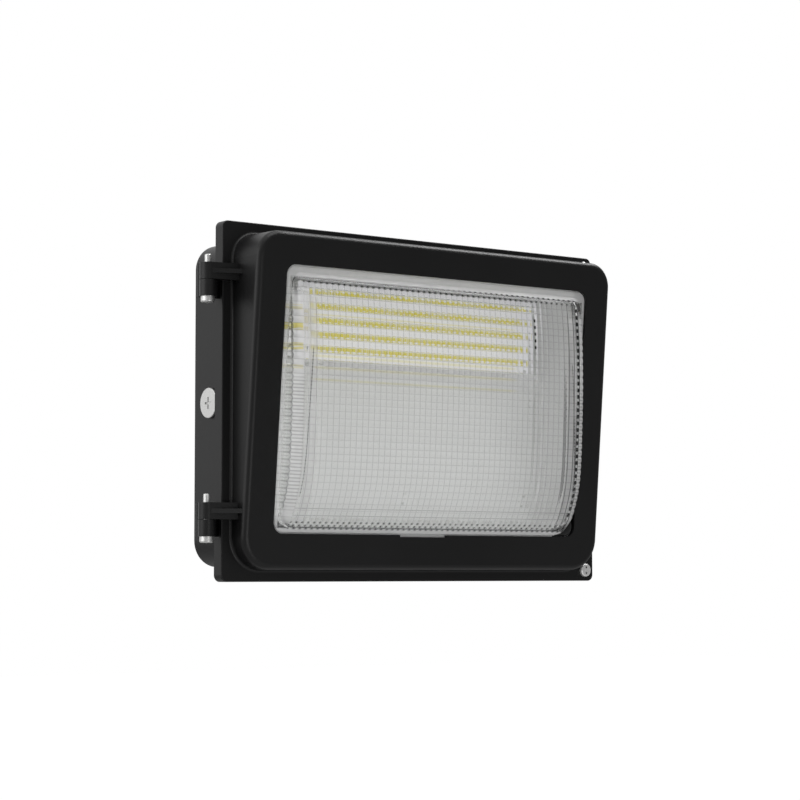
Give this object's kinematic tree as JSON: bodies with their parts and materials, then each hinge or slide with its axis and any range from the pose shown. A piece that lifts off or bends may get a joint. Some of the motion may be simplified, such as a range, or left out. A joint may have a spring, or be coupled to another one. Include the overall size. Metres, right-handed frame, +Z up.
{
  "type": "wall pack light",
  "caption": "Side-hinged wall pack floodlight: black cast housing and door, deep ribbed glass refractor that bows forward and throws light down, tilted LED board inside.",
  "frame": {"origin": "centre of the wall bolt pattern, in the plane of the wall", "axes": "+Z up, +Y into the wall, +X to the right as seen from the front; the lamp faces -Y"},
  "size_m": [0.3789, 0.0965, 0.267],
  "materials": {
    "black_powder_coat": "fine-textured satin black powder coat on die-cast aluminium",
    "bright_zinc": "bright zinc plate",
    "spring_steel": "plain bright spring steel",
    "galvanised_sheet": "galvanised sheet with faint spangle",
    "bare_aluminium": "bare extruded aluminium",
    "white_enamel": "white baked enamel, semi-gloss",
    "white_solder_mask": "white solder mask over an aluminium core",
    "yellow_phosphor": "yellow phosphor in clear silicone",
    "prismatic_glass": "clear pressed borosilicate with moulded ribs",
    "grey_silicone": "smooth grey silicone",
    "clear_silicone": "translucent silicone",
    "black_rubber": "matt black rubber",
    "closed_cell_foam": "closed-cell foam",
    "black_plastic": "matt black moulded plastic",
    "cream_nylon": "natural nylon",
    "orange_plastic": "ribbed orange plastic",
    "lead_insulation": "black, white and green wire insulation",
    "white_insulation": "white wire insulation",
    "white_silicone": "white silicone",
    "white_coated_aluminium": "white coat on extruded aluminium",
    "green_steel": "green earth screw"
  },
  "bodies": {
    "housing": {"rear_housing": "black_powder_coat", "wall_seal": "closed_cell_foam", "conduit_plugs": "bright_zinc", "plug_seals": "black_rubber", "hinge_pins": "bright_zinc", "gear_plate": "galvanised_sheet", "plate_screws": "bright_zinc", "led_heat_sink": "white_coated_aluminium", "sink_screws": "bright_zinc", "led_board": "white_solder_mask", "led_chips": "yellow_phosphor", "board_screws": "bright_zinc", "board_socket": "cream_nylon", "reflector": "white_enamel", "reflector_screws": "bright_zinc", "driver_case": "bare_aluminium", "driver_end_caps": "black_plastic", "driver_screws": "bright_zinc", "supply_leads": "lead_insulation", "wire_connectors": "orange_plastic", "lamp_leads": "white_insulation", "lead_grommet": "white_silicone", "ground_screw": "green_steel"},
    "door": {"door_frame": "black_powder_coat", "door_seal": "grey_silicone", "glass_refractor": "prismatic_glass", "glass_gasket": "clear_silicone", "glass_clips": "spring_steel", "clip_screws": "bright_zinc"},
    "captive_upper": {"captive_screw_upper": "bright_zinc", "captive_washer_upper": "cream_nylon"},
    "captive_lower": {"captive_screw_lower": "bright_zinc", "captive_washer_lower": "cream_nylon"}
  },
  "joints": [
    {"name": "door_hinge", "type": "hinge", "parent": "housing", "child": "door", "pos_m": [-0.1926, -0.057, 0], "axis": [0, 0, -1], "range_deg": [0, 170]},
    {"name": "upper_screw_slide", "type": "slide", "parent": "door", "child": "captive_upper", "axis": [0, -1, 0], "range_m": [0, 0.0041]},
    {"name": "lower_screw_slide", "type": "slide", "parent": "door", "child": "captive_lower", "axis": [0, -1, 0], "range_m": [0, 0.0041]}
  ]
}
